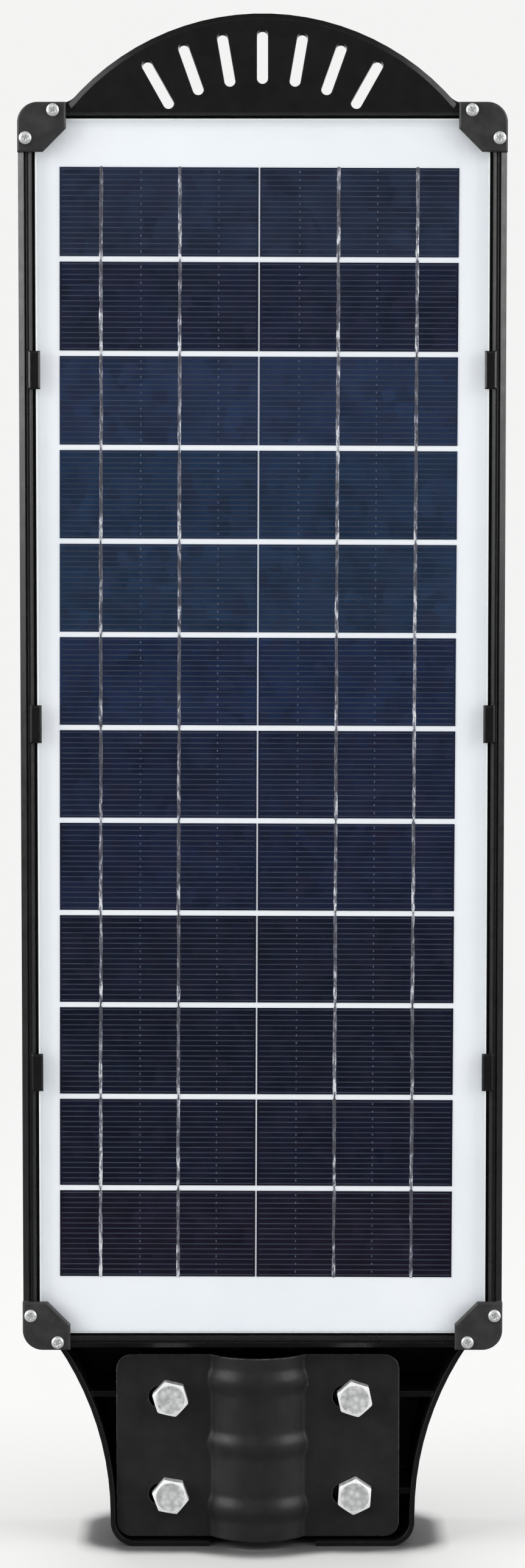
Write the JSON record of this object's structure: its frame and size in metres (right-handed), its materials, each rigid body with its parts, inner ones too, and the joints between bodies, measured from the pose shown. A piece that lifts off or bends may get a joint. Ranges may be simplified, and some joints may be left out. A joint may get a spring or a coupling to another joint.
{
  "type": "solar street lamp",
  "caption": "All-in-one solar street lamp: flat housing with a solar panel on one face, light modules on the other, slotted handle and pole clamp.",
  "frame": {"origin": "on the pole's axis, at the middle of the clamp's length", "axes": "+Z along the lamp from the clamp to the handle, -Y out of the solar panel, +Y out of the light side, +X to the right when looking at the panel. It stands as pictured; on a horizontal arm the lamp is turned so that -Y points up."},
  "size_m": [0.192, 0.0642, 0.6128],
  "materials": {
    "housing_abs": "fine moulded grain, black",
    "cap_plastic": "fine moulded grain, black",
    "panel_glass": "tempered, clear",
    "encapsulant": "clear",
    "silicon_cell": "polycrystalline, dark blue, printed fingers",
    "ribbon": "tinned copper",
    "backsheet": "white",
    "foam": "closed-cell foam",
    "seal_rubber": "silicone",
    "black_box": "moulded",
    "zinc_screw": "zinc plated, bright",
    "zinc_bolt": "zinc plated, dull",
    "painted_plate": "black powder coat on steel",
    "reflector_chrome": "vacuum metallised",
    "led_board": "white solder mask",
    "led_chip": "yellow phosphor",
    "lens_clear": "clear polycarbonate",
    "dome_white": "translucent white",
    "window_dark": "dark infrared filter",
    "light_pipe": "clear",
    "button_red": "smooth red",
    "bezel_black": "smooth black",
    "battery_wrap": "shrink sleeve, blue",
    "nickel": "nickel",
    "circuit_board": "green solder mask",
    "copper_coil": "enamelled copper",
    "capacitor": "black sleeve",
    "heat_sink": "bare",
    "connector_white": "nylon",
    "brass": "turned",
    "sensor_can": "nickel plated",
    "wire": "PVC"
  },
  "bodies": {
    "lamp": {"housing": "housing_abs", "clamp_nuts": "zinc_bolt", "panel_glass": "panel_glass", "panel_encapsulant": "encapsulant", "solar_cells": "silicon_cell", "cell_ribbons": "ribbon", "panel_backsheet": "backsheet", "panel_gasket": "foam", "panel_junction_box": "black_box", "corner_cap_screws": "zinc_screw", "panel_clips": "cap_plastic", "battery_cells": "battery_wrap", "battery_strips": "nickel", "battery_cradle": "black_box", "battery_straps": "nickel", "battery_strap_screws": "zinc_screw", "battery_cover": "housing_abs", "battery_cover_gasket": "seal_rubber", "battery_cover_screws": "zinc_screw", "led_chips": "led_chip", "led_lens_gaskets": "seal_rubber", "led_lens_screws": "zinc_screw", "sensor_board": "circuit_board", "controller_board": "circuit_board", "board_standoffs": "brass", "board_screws": "zinc_screw", "controller_inductor": "copper_coil", "controller_capacitors": "capacitor", "controller_heatsink": "heat_sink", "controller_connectors": "connector_white", "motion_sensor": "sensor_can", "sensor_dome": "dome_white", "sensor_dome_seal": "seal_rubber", "sensor_components": "black_box", "indicator_light_pipe": "light_pipe", "remote_window": "window_dark", "power_switch": "black_box", "power_button_bezel": "bezel_black", "panel_lead": "wire", "battery_lead": "wire", "led_lead": "wire", "corner_cap_top_left": "cap_plastic", "corner_cap_top_right": "cap_plastic", "corner_cap_bottom_left": "cap_plastic", "corner_cap_bottom_right": "cap_plastic", "reflector_1": "reflector_chrome", "led_board_1": "led_board", "led_lens_1": "lens_clear", "reflector_2": "reflector_chrome", "led_board_2": "led_board", "led_lens_2": "lens_clear", "reflector_3": "reflector_chrome", "led_board_3": "led_board", "led_lens_3": "lens_clear"},
    "clamp": {"clamp_plate": "painted_plate"},
    "button": {"power_button": "button_red"},
    "bolt_1": {"clamp_bolt_1": "zinc_bolt"},
    "bolt_2": {"clamp_bolt_2": "zinc_bolt"},
    "bolt_3": {"clamp_bolt_3": "zinc_bolt"},
    "bolt_4": {"clamp_bolt_4": "zinc_bolt"}
  },
  "joints": [
    {"name": "clamp_slide", "type": "slide", "parent": "lamp", "child": "clamp", "axis": [0, -1, 0], "range_m": [-0.002, 0.005]},
    {"name": "bolt_1_turn", "type": "hinge", "parent": "clamp", "child": "bolt_1", "pos_m": [-0.0372, -0.015, 0.02], "axis": [0, -1, 0], "range_deg": [-586, 1450]},
    {"name": "bolt_2_turn", "type": "hinge", "parent": "clamp", "child": "bolt_2", "pos_m": [0.0372, -0.015, 0.02], "axis": [0, -1, 0], "range_deg": [-586, 1450]},
    {"name": "bolt_3_turn", "type": "hinge", "parent": "clamp", "child": "bolt_3", "pos_m": [-0.0372, -0.015, -0.02], "axis": [0, -1, 0], "range_deg": [-586, 1450]},
    {"name": "bolt_4_turn", "type": "hinge", "parent": "clamp", "child": "bolt_4", "pos_m": [0.0372, -0.015, -0.02], "axis": [0, -1, 0], "range_deg": [-586, 1450]},
    {"name": "button_push", "type": "slide", "parent": "lamp", "child": "button", "axis": [0, -1, 0], "range_m": [0, 0.002], "stiffness_N_per_m": 900, "springref_m": -0.001}
  ],
  "couplings": [
    {"joint": "bolt_1_turn", "follows": "clamp_slide", "rad_per_m": 5026.5},
    {"joint": "bolt_2_turn", "follows": "clamp_slide", "rad_per_m": 5026.5},
    {"joint": "bolt_3_turn", "follows": "clamp_slide", "rad_per_m": 5026.5},
    {"joint": "bolt_4_turn", "follows": "clamp_slide", "rad_per_m": 5026.5}
  ]
}
